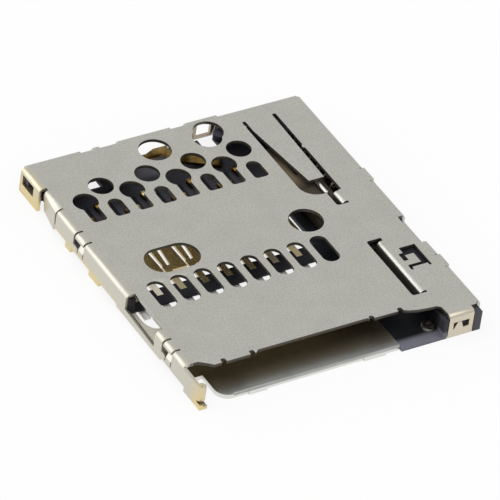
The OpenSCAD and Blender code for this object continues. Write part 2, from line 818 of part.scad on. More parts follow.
// Room for the cover's lugs, inset leg and foot
module cover_pockets() {
    pocket = [wall_l - eps, wall_l + pocket_w];
    room = [-pocket_gap, pocket_gap];
    box(pocket, rear_lug_y + room, [rear_window_z[0] - pocket_gap, rear_window_z[1]]);
    for (y = left_locks) box(pocket, [y[0], y[0] + lock_lug_w] + room, [lock_sill - pocket_gap, roof]);
    box([wall_l - eps, wall_l + notch_w], [inset_leg_y[0], rear_window_y[0] + notch_run], [-eps, roof]);
    box([wall_l - eps, wall_l + left_undercut[0]], [bar_y[0] - eps, left_folds[5][0]],
        [-eps, left_undercut[1]]);
    box(foot_x + room, [from_front(-eps), from_front(bend_r)], [-eps, roof]);
}

// Room for the moving pieces and the spring
module mechanism_pockets() {
    box(keel_x + [-play, play],
        [slider_y[0] + keel_inset - play, slider_y[1] - keel_inset + stroke + play],
        [floor_t - keel_depth - play, floor_t + eps]);
    box([spring_x - spring_d / 2 - pocket_gap, spring_x + spring_d / 2 + pocket_gap],
        spring_y, [spring_z - spring_d / 2 - pocket_gap - spring_seat, roof]);
    box([follower_pivot[0] - cam_shift, follower_pivot[0] + 2 * follower_d],
        [rear_block_y - eps, follower_pivot[1] + 2 * follower_d], [slider_top, roof]);
    translate([follower_pivot[0], follower_pivot[1], follower_leg_z - play])
        cylinder(d = follower_d + 2 * play, h = body_h);
}

module housing() color([0.1, 0.1, 0.12]) {
    difference() {
        housing_body();
        for (k = [0 : CONTACTS - 1]) contact_frame(k);
        plate_inserts();
        lever_foot();
        detect_terminal();
        cover_pockets();
        mechanism_pockets();
        lead_in();
        box(mould_hole_x, mould_hole_y, [-eps, floor_t + eps]);
        box([switch_hole_x, peg_block_x[0] - peg_gap], [switch_hole_y, housing_rear + eps],
            [-eps, floor_t + eps]);
        box([wall_l - eps, plate_r - bar_end_w], [bar_y[0] - eps, bar_y[0] + bar_lip],
            [-eps, bar_top + cover_h - bar_lip_t]);
        box([plate_r - eps, plate_r + side_gap_w],
            [bar_y[1] + side_gap_inset[0], comb_front - side_gap_inset[1]],
            [-eps, floor_t + eps]);
        box([from_right(2 * bend_r), wall_r + eps], right_cut_y, [right_cut_sill, body_h]);
    }
}

// Lane of the cam track between two points
module lane(a, b) {
    run = b - a;
    disc(a, lane_w);
    disc(b, lane_w);
    translate(a) rotate(atan2(run[1], run[0])) translate([0, -lane_w / 2]) square([norm(run), lane_w]);
}

// Heart-shaped track: the way in on the right, the latch point in front, the way out on the left
module cam_track() {
    start = [follower_pivot[0], follower_tip_y];
    end = start - [cam_shift, stroke];
    out = end - [heart_w, 0];
    latch = end - [heart_w / 2, 0];
    lane(start, end);
    lane(end, out);
    lane(latch, latch + [0, lane_w]);
    lane(out, out + [0, stroke / 2]);
    lane(out + [0, stroke / 2], start);
}

module slider() color([0.35, 0.33, 0.3]) {
    base = floor_t + play;
    difference() {
        union() {
            box(slider_x, slider_y, [base, slider_top]);
            box([slider_x[0], arm_r], [slider_y[0], arm_y], [base, slider_top]);
            box([slider_x[0], pusher_r], [slider_y[0], slider_y[0] + pusher_l], [base, slider_top]);
            box([slider_x[1], pusher_r], [slider_y[0], slider_y[0] + pusher_l], [base, pusher_top]);
            box(keel_x, slider_y + [keel_inset, -keel_inset], [floor_t - keel_depth, slider_top]);
            translate([spring_x, slider_y[0] + pusher_l - eps, spring_z]) rotate([-90, 0, 0])
                cylinder(d = boss_d, h = boss_l);
        }
        translate([0, 0, cam_floor]) linear_extrude(slider_top) cam_track();
    }
}

// Points of the coil: the middle of the wire and the rings around it
spring_sides = 6;
spring_steps = 14;
spring_rings = spring_turns * spring_steps;
coil_r = (spring_d - spring_wire) / 2;
coil_l = spring_y[1] - spring_y[0] - spring_wire;
function coil_ring(i) = [
    for (j = [0 : spring_sides - 1])
        let (
            a = 360 * i / spring_steps,
            b = 360 * j / spring_sides,
            r = coil_r + spring_wire / 2 * cos(b),
            y = spring_y[0] + spring_wire / 2 + coil_l * i / spring_rings
        )
        [spring_x + r * cos(a), y + spring_wire / 2 * sin(b), spring_z + r * sin(a)]
];

module eject_spring() color("lightgray") {
    points = [for (i = [0 : spring_rings]) each coil_ring(i)];
    n = spring_sides;
    last = spring_rings * n;
    sides = [
        for (i = [0 : spring_rings - 1], j = [0 : n - 1])
            let (a = i * n + j, b = i * n + (j + 1) % n)
            each [[a, b, b + n], [a, b + n, a + n]]
    ];
    polyhedron(points, concat(
        sides,
        [[for (j = [n - 1 : -1 : 0]) j]],
        [[for (j = [0 : n - 1]) last + j]]
    ));
}

module cam_follower() color("lightgray") {
    reach = follower_pivot[1] - follower_tip_y;
    translate([follower_pivot[0], follower_pivot[1], follower_z]) {
        rotate([90, 0, 0]) cylinder(d = follower_d, h = reach);
        for (y = [0, -reach]) translate([0, y, 0]) {
            sphere(d = follower_d);
            translate([0, 0, follower_leg_z - follower_z])
                cylinder(d = follower_d, h = follower_z - follower_leg_z);
        }
    }
}

cover_shell();
floor_plate();
housing();
for (k = [0 : CONTACTS - 1]) {
    contact(k);
}
detect_lever();
detect_terminal();
slider();
eject_spring();
cam_follower();
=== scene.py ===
"""Looks of a push-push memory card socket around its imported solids. Lengths are metres unless said."""

import math

import bmesh
import bpy
import numpy as np
from mathutils import Matrix, Vector


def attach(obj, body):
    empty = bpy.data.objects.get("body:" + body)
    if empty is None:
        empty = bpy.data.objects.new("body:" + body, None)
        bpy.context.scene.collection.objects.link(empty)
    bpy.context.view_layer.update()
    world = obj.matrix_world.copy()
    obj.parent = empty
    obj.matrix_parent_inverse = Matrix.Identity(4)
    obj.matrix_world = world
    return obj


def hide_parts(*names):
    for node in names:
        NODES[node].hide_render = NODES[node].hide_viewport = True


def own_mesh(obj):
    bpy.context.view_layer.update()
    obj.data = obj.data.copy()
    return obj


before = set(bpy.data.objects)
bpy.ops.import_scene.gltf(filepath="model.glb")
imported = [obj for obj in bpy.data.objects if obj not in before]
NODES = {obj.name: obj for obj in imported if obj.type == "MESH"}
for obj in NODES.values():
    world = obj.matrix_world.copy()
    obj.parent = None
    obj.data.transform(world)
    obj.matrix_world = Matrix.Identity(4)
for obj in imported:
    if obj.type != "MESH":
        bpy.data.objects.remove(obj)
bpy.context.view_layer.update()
MM = 0.001

# Camera: direction and roll of the photograph's view in degrees, aimed at a point of the cover's top
VIEW_AZIMUTH = -35.344
VIEW_ELEVATION = 38.690
VIEW_ROLL = 8.317
VIEW_TARGET = (-0.52 * MM, -0.80 * MM, 1.15 * MM)
VIEW_DISTANCE = 253.65 * MM
VIEW_LENS = 447.2
VIEW_CLIP = (0.01, 20.0)
SENSOR = 36.0


def unit(v):
    """A vector divided by its length."""
    return np.asarray(v, float) / np.linalg.norm(v)


def place_camera():
    """Camera at target plus distance along the view direction, turned about that line by the roll."""
    az, el, roll = (math.radians(a) for a in (VIEW_AZIMUTH, VIEW_ELEVATION, VIEW_ROLL))
    back = np.array([math.sin(az) * math.cos(el), -math.cos(az) * math.cos(el), math.sin(el)])
    right = unit(np.cross((0.0, 0.0, 1.0), back))
    up = np.cross(back, right)
    rolled_right = right * math.cos(roll) + up * math.sin(roll)
    rolled_up = up * math.cos(roll) - right * math.sin(roll)
    data = bpy.data.cameras.new("photo_camera")
    data.lens = VIEW_LENS
    data.sensor_width = SENSOR
    data.clip_start, data.clip_end = VIEW_CLIP
    camera = bpy.data.objects.new("photo_camera", data)
    bpy.context.scene.collection.objects.link(camera)
    matrix = Matrix.Identity(4)
    place = np.array(VIEW_TARGET) + VIEW_DISTANCE * back
    for column, axis in enumerate((rolled_right, rolled_up, back, place)):
        for row in range(3):
            matrix[row][column] = axis[row]
    camera.matrix_world = matrix
    bpy.context.scene.camera = camera


# Ranges of noise that are spread over a finish, and the slope of normals between flat and upright faces
CLOUD_RANGE = (0.35, 0.65)
GRAIN_RANGE = (0.25, 0.75)
FIBRE_RANGE = (0.3, 0.7)
UPRIGHT_RANGE = (0.35, 0.6)


class Shader:
    """A material's node tree with short calls for the few node kinds used here."""

    def __init__(self, name):
        self.material = bpy.data.materials.new(name)
        self.material.use_nodes = True
        self.tree = self.material.node_tree
        self.nodes = self.tree.nodes
        self.surface = self.nodes["Principled BSDF"]
        coordinates = self.add("ShaderNodeTexCoord")
        self.coords = coordinates.outputs["Object"]
        self.normal = coordinates.outputs["Normal"]

    def add(self, kind, **settings):
        node = self.nodes.new(kind)
        for key, value in settings.items():
            setattr(node, key, value)
        return node

    def put(self, socket, value):
        """A link where the value is a socket, else a plain number or colour."""
        if isinstance(value, bpy.types.NodeSocket):
            self.tree.links.new(value, socket)
        elif hasattr(socket.default_value, "__len__") and (len(value), len(socket.default_value)) == (3, 4):
            socket.default_value = (*value, 1.0)
        else:
            socket.default_value = value

    def set(self, **sockets):
        """Values of the surface shader, by socket name with underscores for spaces."""
        for name, value in sockets.items():
            self.put(self.surface.inputs[name.replace("_", " ")], value)

    def mapped(self, scale):
        """Object coordinates times a scale for each axis."""
        node = self.add("ShaderNodeMapping")
        self.put(node.inputs["Vector"], self.coords)
        node.inputs["Scale"].default_value = scale
        return node.outputs["Vector"]

    def noise(self, scale, detail=3.0, roughness=0.55):
        """Noise of the given number of lumps per metre on each axis."""
        node = self.add("ShaderNodeTexNoise")
        self.put(node.inputs["Vector"], self.mapped(scale))
        node.inputs["Scale"].default_value = 1.0
        node.inputs["Detail"].default_value = detail
        node.inputs["Roughness"].default_value = roughness
        return node.outputs["Fac"]

    def spread(self, value, low, high, to_low=0.0, to_high=1.0):
        """A value's range low to high carried to another range, and held at its ends."""
        node = self.add("ShaderNodeMapRange", clamp=True)
        self.put(node.inputs["Value"], value)
        for name, number in (("From Min", low), ("From Max", high), ("To Min", to_low), ("To Max", to_high)):
            node.inputs[name].default_value = number
        return node.outputs["Result"]

    def mix(self, amount, first, second):
        """First colour where amount is 0, second where it is 1."""
        node = self.add("ShaderNodeMix", data_type="RGBA")
        self.put(node.inputs["Factor"], amount)
        self.put(node.inputs[6], first)
        self.put(node.inputs[7], second)
        return node.outputs[2]

    def clouded(self, cloud, first, second):
        """First and second colour in soft patches of a noise."""
        return self.mix(self.spread(cloud, *CLOUD_RANGE), first, second)

    def tinted(self, zone, strength, colour, tone):
        """The colour, carried to the tone by the strength where the zone is 1."""
        return self.mix(self.both(zone, strength), colour, tone)

    def math(self, operation, first, second):
        node = self.add("ShaderNodeMath", operation=operation)
        self.put(node.inputs[0], first)
        self.put(node.inputs[1], second)
        return node.outputs[0]

    def both(self, first, second):
        """Product of two zones."""
        return self.math("MULTIPLY", first, second)

    def either(self, first, second):
        """The larger of two zones."""
        return self.math("MAXIMUM", first, second)

    def beyond(self, zone):
        """1 where the zone is 0, and 0 where it is 1."""
        return self.math("SUBTRACT", 1.0, zone)

    def axis(self, name):
        """One object coordinate, in metres."""
        node = self.add("ShaderNodeSeparateXYZ")
        self.put(node.inputs[0], self.coords)
        return node.outputs[name]

    def rising(self, name, low, high, to_low=0.0, to_high=1.0):
        """0 below one place on an axis and 1 above another, both in millimetres."""
        return self.spread(self.axis(name), low * MM, high * MM, to_low, to_high)

    def falling(self, name, low, high, to_high=0.0):
        """1 below one place on an axis and 0 above another, both in millimetres."""
        return self.rising(name, low, high, 1.0, to_high)

    def upright(self):
        """1 on faces that stand up, 0 on faces that lie flat, from the object's own normal."""
        node = self.add("ShaderNodeSeparateXYZ")
        self.put(node.inputs[0], self.normal)
        return self.spread(self.math("ABSOLUTE", node.outputs["Z"], 0.0), *UPRIGHT_RANGE, 1.0, 0.0)

    def bump(self, height, strength, distance):
        node = self.add("ShaderNodeBump")
        node.inputs["Strength"].default_value = strength
        node.inputs["Distance"].default_value = distance
        self.put(node.inputs["Height"], height)
        self.put(self.surface.inputs["Normal"], node.outputs["Normal"])


# Colours of the cover. The wall and foot creams are a painted reflection of the white floor
COVER_GREYS = (0.607, 0.603, 0.551), (0.657, 0.652, 0.602)
PIT_GREY = (0.47, 0.465, 0.42)
WALL_REFLECTION_CREAM = (0.64, 0.61, 0.52)
FOOT_REFLECTION_CREAM = (0.69, 0.6, 0.46)
# painted shade: the dark brown of the cut faces
CUT_SHADE_BROWN = (0.05, 0.041, 0.03)
REAR_BROWN = (0.4, 0.32, 0.22)
GILT = (0.82, 0.65, 0.29)
STRIP_GREY = (0.2, 0.19, 0.16)
NOTCH_X = 6.28 * MM
NOTCH_REACH = (0.008 * MM, 0.012 * MM)


def cover_steel():
    """Satin rolled steel: grey with fine pits, and cut faces painted dark brown as painted shade. The left
    wall and the front foot are painted cream as a painted reflection of the white floor, their ends gold and
    the rear wall brown."""
    m = Shader("cover_steel")
    cloud = m.noise((900.0, 900.0, 900.0), 4.0)
    grain = m.noise((60000.0, 9000.0, 60000.0), 2.0)
    pits = m.noise((14000.0, 14000.0, 14000.0), 2.0, 0.7)
    left = m.falling("X", -6.5, -6.3)
    right = m.rising("X", 6.5, 6.6)
    front = m.falling("Y", -7.55, -7.4)
    rear = m.rising("Y", 7.3, 7.4)
    leg = m.both(m.falling("Y", -7.3, -6.7), m.falling("Z", 0.1, 0.8, 0.5))
    inset_leg = m.both(m.rising("Y", 4.4, 4.5), m.falling("Y", 5.8, 5.85))
    rear_half = m.both(m.falling("Z", 0.08, 0.5), m.rising("Y", -1.5, 0.5))
    rear_half = m.both(rear_half, m.beyond(inset_leg))
    corner = m.both(m.rising("Y", 5.85, 5.9), m.rising("Z", 0.2, 1.0, 0.9, 0.3))
    gilt = m.both(left, m.either(m.either(rear_half, leg), corner))
    outside = m.either(left, front)
    notch = m.math("ABSOLUTE", m.math("ADD", m.axis("X"), NOTCH_X), 0.0)
    rim = m.either(m.either(outside, right), rear)
    rim = m.either(rim, m.spread(notch, *NOTCH_REACH, 1.0, 0.0))
    cut = m.both(m.beyond(rim), m.upright())
    strip = m.both(m.both(m.falling("Z", 0.5, 0.55), left), m.beyond(m.upright()))
    colour = m.clouded(cloud, *COVER_GREYS)
    colour = m.mix(m.spread(pits, 0.35, 0.7, 0.0, 0.9), colour, PIT_GREY)
    # painted reflection: the left wall and the front foot are tinted cream, as the white floor and lamps
    # would show in them
    colour = m.tinted(outside, 0.75, colour, WALL_REFLECTION_CREAM)
    colour = m.tinted(front, 0.6, colour, FOOT_REFLECTION_CREAM)
    # painted shade: cut faces inside the outer rim are darkened to brown, and are made less metallic below
    colour = m.tinted(cut, 0.95, colour, CUT_SHADE_BROWN)
    colour = m.tinted(m.both(rear, m.falling("Z", 0.85, 0.95)), 0.7, colour, REAR_BROWN)
    colour = m.tinted(gilt, 0.85, colour, GILT)
    colour = m.tinted(strip, 0.7, colour, STRIP_GREY)
    m.set(Base_Color=colour, Metallic=m.spread(cut, 0.0, 1.0, 1.0, 0.4))
    m.set(Roughness=m.spread(grain, *GRAIN_RANGE, 0.32, 0.44))
    m.bump(pits, 0.2, 0.006 * MM)
    return m.material


# Colours of the floor plate. The inside brown is painted reflection, the rim colour a painted highlight and
# the wing cream painted light
PLATE_GREYS = (0.42, 0.43, 0.41), (0.49, 0.5, 0.48)
PLATE_REFLECTION_BROWN = (0.6, 0.5, 0.34)
PLATE_RIM_HIGHLIGHT = (0.82, 0.82, 0.78)
WING_LIT_CREAM = (0.93, 0.89, 0.75)
RIVET_BROWN = (0.1, 0.09, 0.07)


def floor_steel():
    """Rolled steel strip with a grain across the card's way, tinted brown inside as a painted reflection of
    the cover's underside, bare at the mouth, with a painted highlight on its upright rims, and painted pale
    on the wing as painted light from the window."""
    m = Shader("floor_steel")
    cloud = m.noise((700.0, 700.0, 700.0))
    grain = m.noise((4000.0, 40000.0, 40000.0), 2.0)
    wing = m.both(m.falling("X", -5.9, -5.6), m.rising("Y", -4.2, -3.6))
    colour = m.clouded(cloud, *PLATE_GREYS)
    # painted reflection: the plate is tinted brown behind the mouth, as the cover's dark underside shows in
    # it
    colour = m.tinted(m.rising("Y", -7.3, -6.6), 0.8, colour, PLATE_REFLECTION_BROWN)
    # painted highlight: the plate's upright faces, its rim and lip, are tinted pale
    colour = m.tinted(m.upright(), 0.8, colour, PLATE_RIM_HIGHLIGHT)
    # painted light: the wing under the long window is tinted cream, and is made mostly non-metallic below
    colour = m.tinted(wing, 0.95, colour, WING_LIT_CREAM)
    colour = m.mix(m.rising("X", 4.2, 4.4, 0.0, 0.8), colour, RIVET_BROWN)
    m.set(Base_Color=colour, Metallic=m.spread(wing, 0.0, 1.0, 1.0, 0.2))
    m.set(Roughness=m.spread(grain, *GRAIN_RANGE, 0.26, 0.4))
    m.bump(grain, 0.15, 0.004 * MM)
    return m.material


# Dark, light and paler colour and roughness of the two mouldings. The paler colour and its gains paint light
# on the front face and the comb and tint the rear shelf, and the mouth black is painted shade
BLACK_RESIN = (0.012, 0.013, 0.018), (0.019, 0.0205, 0.028), (0.05, 0.05, 0.061), 0.48
TAUPE_RESIN = (0.05, 0.041, 0.03), (0.07, 0.058, 0.042), (0.13, 0.104, 0.066), 0.45
RESIN_GLOSS = 0.2
MOUTH_SHADE_BLACK = (0.002, 0.002, 0.002)
SHELF_GAIN = 2.0
COMB_LIGHT_GAIN = 1.5
SILL_LIGHT_GAIN = 2.9
POST_GAIN = 0.6
END_HIGHLIGHT_GAIN = 1.35


def toned(colour, gain):
    """A colour times a gain."""
    return tuple(gain * part for part in colour)


def moulded_resin(name, dark, light, paler, roughness):
    """Glass-filled moulded resin: speckled fibre ends and a slightly rough skin. Painted light makes it paler
    at the front and on the comb, it is paler on the rear shelf, and painted shade makes it blackest in the
    mouth."""
    m = Shader(name)
    cloud = m.noise((1500.0, 1500.0, 1500.0), 3.0)
    fibre = m.noise((30000.0, 12000.0, 30000.0), 2.0)
    # painted light: from y 2.4 mm rearwards the resin is lifted to the paler colour, against the shade under
    # the cover and the tongue
    comb = m.both(m.rising("Y", 2.4, 3.0), m.falling("Y", 4.0, 4.8, 0.3))
    shelf = m.both(m.rising("Y", 5.8, 6.1), m.falling("X", 1.2, 1.6))
    # painted light: the front face takes lit tones of the paler colour, brightest on the sill, a painted
    # highlight on the end block and darker on the post
    end_block = m.rising("X", 5.2, 5.5)
    sill = m.both(m.falling("Z", 0.3, 0.42), m.beyond(end_block))
    front = m.mix(end_block, toned(paler, POST_GAIN), toned(paler, END_HIGHLIGHT_GAIN))
    front = m.mix(sill, front, toned(paler, SILL_LIGHT_GAIN))
    colour = m.clouded(cloud, dark, light)
    colour = m.mix(comb, colour, toned(paler, COMB_LIGHT_GAIN))
    colour = m.mix(shelf, colour, toned(paler, SHELF_GAIN))
    # painted shade: the resin goes towards black in the mouth, most at y -7 mm and fading out by y -5 mm
    colour = m.mix(m.rising("Y", -7.0, -5.0, 0.75, 0.0), colour, MOUTH_SHADE_BLACK)
    colour = m.mix(m.falling("Y", -7.35, -7.1), colour, front)
    m.set(Base_Color=colour, Roughness=m.spread(fibre, *FIBRE_RANGE, roughness - 0.08, roughness + 0.1))
    m.set(Specular_IOR_Level=RESIN_GLOSS)
    m.bump(fibre, 0.25, 0.006 * MM)
    return m.material


# Colours of the contacts, and for each of them the colour on the bar and at the tip
LEAF_BRONZES = (0.51, 0.4, 0.2), (0.61, 0.485, 0.255)
TAIL_TIN = (0.84, 0.83, 0.79)
BRONZE, TIN = (0.46, 0.38, 0.23), (0.78, 0.72, 0.59)
TIP_GOLD, TIP_BROWN, TIP_DARK = (0.86, 0.66, 0.33), (0.55, 0.34, 0.1), (0.3, 0.17, 0.03)
CONTACT_COLOURS = [(TIN, TIP_BROWN), (TIN, TIP_DARK), (BRONZE, TIP_GOLD), (BRONZE, TIP_GOLD),
                   (BRONZE, TIP_BROWN), (BRONZE, TIP_DARK), (TIN, TIP_BROWN), (BRONZE, TIP_DARK)]


def contact_bronze(name, bar_colour, tip_colour):
    """Phosphor bronze leaf with one colour on its raised tip, another where it crosses the bar, and tin
    on the solder tail."""
    m = Shader(name)
    cloud = m.noise((2500.0, 2500.0, 2500.0))
    grain = m.noise((60000.0, 5000.0, 60000.0), 2.0)
    tail = m.falling("Y", -1.45, -1.35)
    colour = m.clouded(cloud, *LEAF_BRONZES)
    colour = m.mix(m.rising("Z", 0.29, 0.35), colour, tip_colour)
    colour = m.mix(m.falling("Y", 0.05, 0.2), colour, bar_colour)
    colour = m.mix(tail, colour, TAIL_TIN)
    m.set(Base_Color=colour, Metallic=m.spread(tail, 0.0, 1.0, 1.0, 0.35))
    m.set(Roughness=m.spread(grain, *GRAIN_RANGE, 0.25, 0.33))
    m.bump(grain, 0.03, 0.003 * MM)
    return m.material


SWITCH_GOLDS = (0.06, 0.036, 0.007), (0.3, 0.19, 0.05)


def switch_gold():
    """Gold plate over a rolled strip, in dark and bright patches."""
    m = Shader("switch_gold")
    cloud = m.noise((1600.0, 1600.0, 1600.0))
    grain = m.noise((8000.0, 50000.0, 50000.0), 2.0)
    m.set(Base_Color=m.clouded(cloud, *SWITCH_GOLDS), Metallic=1.0)
    m.set(Roughness=m.spread(grain, *GRAIN_RANGE, 0.18, 0.3))
    m.bump(grain, 0.1, 0.003 * MM)
    return m.material


# Dark and light colour of the wires, and how metallic they are
FOLLOWER_WIRE = (0.62, 0.61, 0.58), (0.76, 0.75, 0.72), 1.0
SPRING_STEEL = (0.56, 0.46, 0.3), (0.7, 0.6, 0.42), 0.5


def drawn_wire(name, dark, light, metallic):
    """Drawn steel wire with faint die lines along it, and one metallic amount over the whole wire, less for a
    wire with an oil film on it.
    """
    m = Shader(name)
    lines = m.noise((90000.0, 3000.0, 90000.0), 2.0)
    m.set(Base_Color=m.mix(m.spread(lines, *FIBRE_RANGE), dark, light), Metallic=metallic)
    m.set(Roughness=m.spread(lines, *GRAIN_RANGE, 0.2, 0.34))
    m.bump(lines, 0.1, 0.002 * MM)
    return m.material


def finish_node(piece, material):
    """One material on every slot of a piece."""
    piece.data.materials.clear()
    piece.data.materials.append(material)


FLAT_ANGLE = 0.5


def merge_flats(mesh, reach):
    """Joins points closer than the reach, and triangles that lie in one flat."""
    work = bmesh.new()
    work.from_mesh(mesh)
    bmesh.ops.remove_doubles(work, verts=work.verts, dist=reach)
    bmesh.ops.dissolve_limit(work, angle_limit=math.radians(FLAT_ANGLE), verts=work.verts, edges=work.edges)
    work.to_mesh(mesh)
    work.free()


# Left wall of the cover, in millimetres. The long window: its jamb, where the leaf's points are found, the
# middle that parts its faces, the heights they go to, and its root
NEAR = 0.004
LEFT_X = -6.2
JAMB_Y, JAMB_X = -3.85, (-6.69386, -6.55)
LEAF_Y, LEAF_FOUND_Z = (-3.75, -1.8), (0.45, 0.75)
LEAF_MIDDLE_X, LEAF_MIDDLE_Z = -6.4, 0.6
LEAF_Z = (0.4, 0.9)
LEAF_ROOT_X, LEAF_ROOT_TOP = -6.543, 0.91
# The inset leg: its face, its front and rear edge and where the rear edge goes, its flare and its lean,
# each with the height where it starts and the drop over which it grows
LEG_X = -6.345
LEG_Y = (4.52, 5.28, 5.75)
LEG_FLARE, FLARE_TOP, FLARE_DROP = 0.14, 1.14, 0.19
LEG_LEAN, LEAN_TOP, LEAN_DROP = 0.09, 0.95, 0.85
# The corner window: its reach along the wall, and old and new height of its sill and of the sill's inner edge
CORNER_Y = (6.3, 7.3)
SILL_Z = (0.18, 0.45)
SILL_EDGE_Z = (0.442, 0.5)


def fitted_cover(points):
    """Points of the cover, in millimetres: the leaf goes to the jamb's plane y = JAMB_Y, the leg's front
    edge moves out by its flare and its rear edge in by its lean, both growing evenly downwards, and the
    sill goes up."""
    x, y, z = points.T.copy()
    left = x < LEFT_X
    leaf = left & (y > LEAF_Y[0]) & (y < LEAF_Y[1]) & (z > LEAF_FOUND_Z[0]) & (z < LEAF_FOUND_Z[1])
    root = (np.abs(x - LEAF_ROOT_X) < NEAR) & (np.abs(y - JAMB_Y) < NEAR) & (z < LEAF_ROOT_TOP)
    x[leaf] = np.where(x[leaf] < LEAF_MIDDLE_X, JAMB_X[0], JAMB_X[1])
    x[root] = JAMB_X[1]
    z[leaf] = np.where(z[leaf] < LEAF_MIDDLE_Z, LEAF_Z[0], LEAF_Z[1])
    y[leaf] = JAMB_Y
    leg_front, leg_rear = (left & (x < LEG_X) & (np.abs(y - edge) < NEAR) for edge in LEG_Y[:2])
    x[leg_front] -= LEG_FLARE * np.clip((FLARE_TOP - z[leg_front]) / FLARE_DROP, 0, 1)
    x[leg_rear] += LEG_LEAN * np.clip((LEAN_TOP - z[leg_rear]) / LEAN_DROP, 0, 1)
    y[leg_rear] = LEG_Y[2]
    corner = left & (y > CORNER_Y[0]) & (y < CORNER_Y[1])
    edge = corner & (np.abs(z - SILL_EDGE_Z[0]) < NEAR / 4) & (np.abs(x - JAMB_X[1]) < NEAR)
    z[corner & (np.abs(z - SILL_Z[0]) < NEAR)] = SILL_Z[1]
    z[edge] = SILL_EDGE_Z[1]
    return np.stack([x, y, z], -1)


# Wing of the floor plate, in millimetres: its round rear corner, the two points of its new square end, the
# round of the opening beside it, and its inner corner
WING_CENTRE, WING_ROUND = (-6.33, -3.47), 0.12
WING_STEPS, END_STEPS = 11, 2
TIP_TURN, END_TURN = 0.05, 0.14
END_X, END_Y = (-6.45, -6.2), -1.3
ROUND_CENTRE, ROUND_RADII = (-5.76, -2.05), (0.465, 0.72)
INNER_CORNER = (-5.63, -3.35)


def fitted_floor(points):
    """Points of the floor plate, in millimetres: along the wing's round corner the turn runs from 0 to 1.
    Its first points go to the square end, and the rest to a quarter ellipse, centre + radii * (cos, sin)."""
    x, y, z = points.T.copy()
    dx, dy = WING_CENTRE[0] - x, y - WING_CENTRE[1]
    corner = (np.abs(np.hypot(dx, dy) - WING_ROUND) < NEAR) & (dx > -NEAR / 4) & (dy > -NEAR / 4)
    inner = (np.abs(x - INNER_CORNER[0]) < NEAR) & (np.abs(y - INNER_CORNER[1]) < NEAR)
    turn = np.arctan2(dy[corner], dx[corner]) / (np.pi / 2)
    share = (turn - END_STEPS / WING_STEPS) * WING_STEPS / (WING_STEPS - END_STEPS)
    sweep = np.pi * (1 + np.clip(share, 0, 1) / 2)
    end = turn < END_TURN
    x[corner] = np.where(end, np.where(turn < TIP_TURN, END_X[0], END_X[1]),
                         ROUND_CENTRE[0] + ROUND_RADII[0] * np.cos(sweep))
    y[corner] = np.where(end, END_Y, ROUND_CENTRE[1] + ROUND_RADII[1] * np.sin(sweep))
    y[inner] = ROUND_CENTRE[1] - ROUND_RADII[1]
    return np.stack([x, y, z], -1)


# Joining of a copy's points as packed, after fitting and after easing, and the eased edges
PACKED_REACH, FITTED_REACH, EASED_REACH = 0.0005 * MM, 0.002 * MM, 0.0002 * MM
EDGE_STEPS = 2
SHARP_ANGLE = 40.0
FLAT_WEIGHT = 100
COVER_EDGE = 0.018 * MM
PLATE_EDGE = 0.015 * MM
RESIN_EDGE = 0.02 * MM
LEAF_EDGE = 0.012 * MM


def eased_copy(node, body, material, edge, fitted=None):
    """A copy of a node's solid, its loose triangles merged and its sharp edges rounded by up to the given
    radius, less where the mesh has shorter edges."""
    mesh = NODES[node].data.copy()
    merge_flats(mesh, PACKED_REACH)
    if fitted:
        points = np.empty(3 * len(mesh.vertices))
        mesh.vertices.foreach_get("co", points)
        mesh.vertices.foreach_set("co", fitted(points.reshape(-1, 3) / MM).ravel() * MM)
        merge_flats(mesh, FITTED_REACH)
    mesh.polygons.foreach_set("use_smooth", np.ones(len(mesh.polygons), bool))
    piece = bpy.data.objects.new(node + "_eased", mesh)
    bpy.context.scene.collection.objects.link(piece)
    bevel = piece.modifiers.new("eased_edges", "BEVEL")
    bevel.width = edge
    bevel.segments = EDGE_STEPS
    bevel.limit_method = "ANGLE"
    bevel.angle_limit = math.radians(SHARP_ANGLE)
    bevel.use_clamp_overlap = True
    weld = piece.modifiers.new("joined_points", "WELD")
    weld.merge_threshold = EASED_REACH
    flat = piece.modifiers.new("flat_faces", "WEIGHTED_NORMAL")
    flat.mode = "FACE_AREA"
    flat.weight = FLAT_WEIGHT
    finish_node(piece, material)
    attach(piece, body)
    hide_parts(node)


def ring_faces(rows, columns):
    """Quads of a tube of points, row after row, with the columns of each row joined in a ring."""
    r, c = np.meshgrid(np.arange(rows - 1), np.arange(columns), indexing="ij")
    following = (c + 1) % columns
    quads = np.stack([r * columns + c, r * columns + following,
                      (r + 1) * columns + following, (r + 1) * columns + c], -1)
    return quads.reshape(-1, 4).tolist()


def new_piece(name, points, faces, material, smooth=True):
    """A mesh object at the origin from points and faces in metres."""
    mesh = bpy.data.meshes.new(name)
    mesh.from_pydata([tuple(p) for p in points.tolist()], [], [tuple(f) for f in faces])
    mesh.polygons.foreach_set("use_smooth", np.full(len(mesh.polygons), smooth))
    mesh.update()
    piece = bpy.data.objects.new(name, mesh)
    bpy.context.scene.collection.objects.link(piece)
    finish_node(piece, material)
    return piece


# Coil of the eject spring, in millimetres as on the solids
SPRING_AXIS = (5.5, 0.6)
SPRING_ENDS = (-1.35, 6.9)
SPRING_D = 0.72
SPRING_WIRE = 0.12
SPRING_TURNS = 15
CLOSED_TURNS = 1.25
STEPS_PER_TURN = 36
WIRE_SIDES = 12


